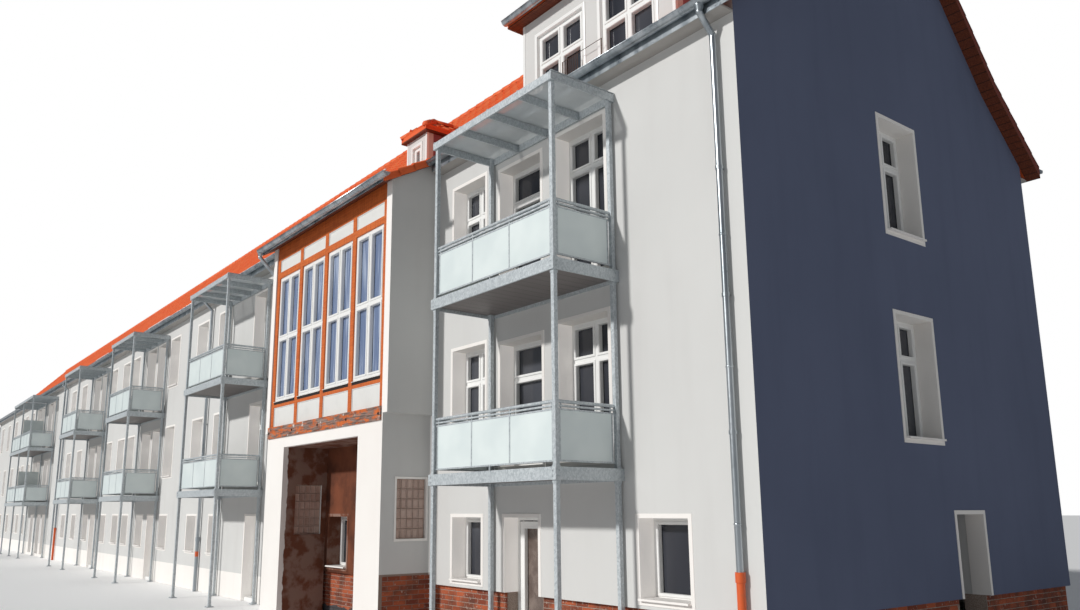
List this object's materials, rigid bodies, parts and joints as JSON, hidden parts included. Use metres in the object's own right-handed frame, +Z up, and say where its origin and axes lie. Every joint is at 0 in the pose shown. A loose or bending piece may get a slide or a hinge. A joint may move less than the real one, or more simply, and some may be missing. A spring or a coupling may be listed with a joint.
{
  "type": "apartment block, 1:2 scale model",
  "caption": "Long three-storey rendered block with a tiled pitched roof, a timber-fronted bay over an open porch and steel balconies on posts.",
  "frame": {"origin": "middle of the block's footprint at ground level, without the balconies and the bay", "axes": "+X along the block towards the painted gable, +Y from the garden front towards the rear, +Z up"},
  "size_m": [34.24, 5.0776, 6.6631],
  "materials": {
    "concrete": "bare concrete, matt",
    "brick": "rough red brick with grey waterproofing",
    "white_render": "smooth white render",
    "render": "fine light grey render",
    "blue_render": "dark slate-blue render",
    "dormer_render": "fine pale render",
    "white_metal": "satin white",
    "window_plastic": "satin white",
    "window_glass": "clear with dark rooms behind",
    "timber": "orange-brown glaze, weathered sill beam",
    "infill": "satin off-white panels",
    "roof_tiles": "matt terracotta",
    "stained_wood": "brown stained boards",
    "cheek_cladding": "mauve-red seamed sheet",
    "glass_blocks": "wavy glass blocks with white joints",
    "zinc": "bright bare zinc",
    "orange_plastic": "matt orange-brown",
    "galvanized": "galvanized with spangle",
    "deck_boards": "grey boards",
    "frosted_glass": "frosted, pale green-white",
    "canopy_sheet": "translucent pale sheet"
  },
  "bodies": {
    "block": {"floor_slabs": "concrete", "brick_plinth": "brick", "white_plinth": "white_render", "front_ground_wall": "render", "door_lintels": "render", "front_upper_wall": "render", "bay_spandrels": "render", "rear_wall": "render", "gable_ground_wall": "blue_render", "gable_upper_wall": "blue_render", "far_gable_wall": "render", "window_surrounds": "white_render", "doorway_surrounds": "white_render", "window_sills": "white_metal", "window_frames": "window_plastic", "window_glass": "window_glass", "balcony_doors": "window_plastic", "terrace_door_frames": "window_plastic", "bay_piers": "white_render", "bay_floor": "white_render", "bay_side_walls": "render", "bay_timber_frame": "timber", "bay_infill_panels": "infill", "bay_window_frames": "window_plastic", "bay_roof": "roof_tiles", "glass_block_windows": "glass_blocks", "front_roof": "roof_tiles", "rear_roof": "roof_tiles", "ridge_tiles": "roof_tiles", "verge_boards": "stained_wood", "eave_boards": "stained_wood", "dormer_walls": "dormer_render", "dormer_cheeks": "cheek_cladding", "dormer_roofs": "roof_tiles", "gutters": "zinc", "downpipes": "zinc", "standpipes": "orange_plastic", "balcony_posts": "galvanized", "balcony_deck_frames": "galvanized", "balcony_deck_floors": "deck_boards", "balcony_railings": "galvanized", "frosted_panels": "frosted_glass", "canopy_frames": "galvanized", "canopy_glass": "canopy_sheet"},
    "terrace_leaf_1": {"terrace_door_1": "window_plastic", "terrace_door_1_glass": "window_glass"},
    "terrace_leaf_2": {"terrace_door_2": "window_plastic", "terrace_door_2_glass": "window_glass"},
    "terrace_leaf_3": {"terrace_door_3": "window_plastic", "terrace_door_3_glass": "window_glass"},
    "terrace_leaf_4": {"terrace_door_4": "window_plastic", "terrace_door_4_glass": "window_glass"}
  },
  "joints": [
    {"name": "terrace_door_1_hinge", "type": "hinge", "parent": "block", "child": "terrace_leaf_1", "pos_m": [14.50999, -1.889, 0.58], "axis": [0, 0, 1], "range_deg": [0, 95]},
    {"name": "terrace_door_2_hinge", "type": "hinge", "parent": "block", "child": "terrace_leaf_2", "pos_m": [8.69505, -1.889, 0.58], "axis": [0, 0, 1], "range_deg": [0, 95]},
    {"name": "terrace_door_3_hinge", "type": "hinge", "parent": "block", "child": "terrace_leaf_3", "pos_m": [3.91005, -1.889, 0.58], "axis": [0, 0, 1], "range_deg": [0, 95]},
    {"name": "terrace_door_4_hinge", "type": "hinge", "parent": "block", "child": "terrace_leaf_4", "pos_m": [-0.59996, -1.889, 0.58], "axis": [0, 0, 1], "range_deg": [0, 95]}
  ]
}
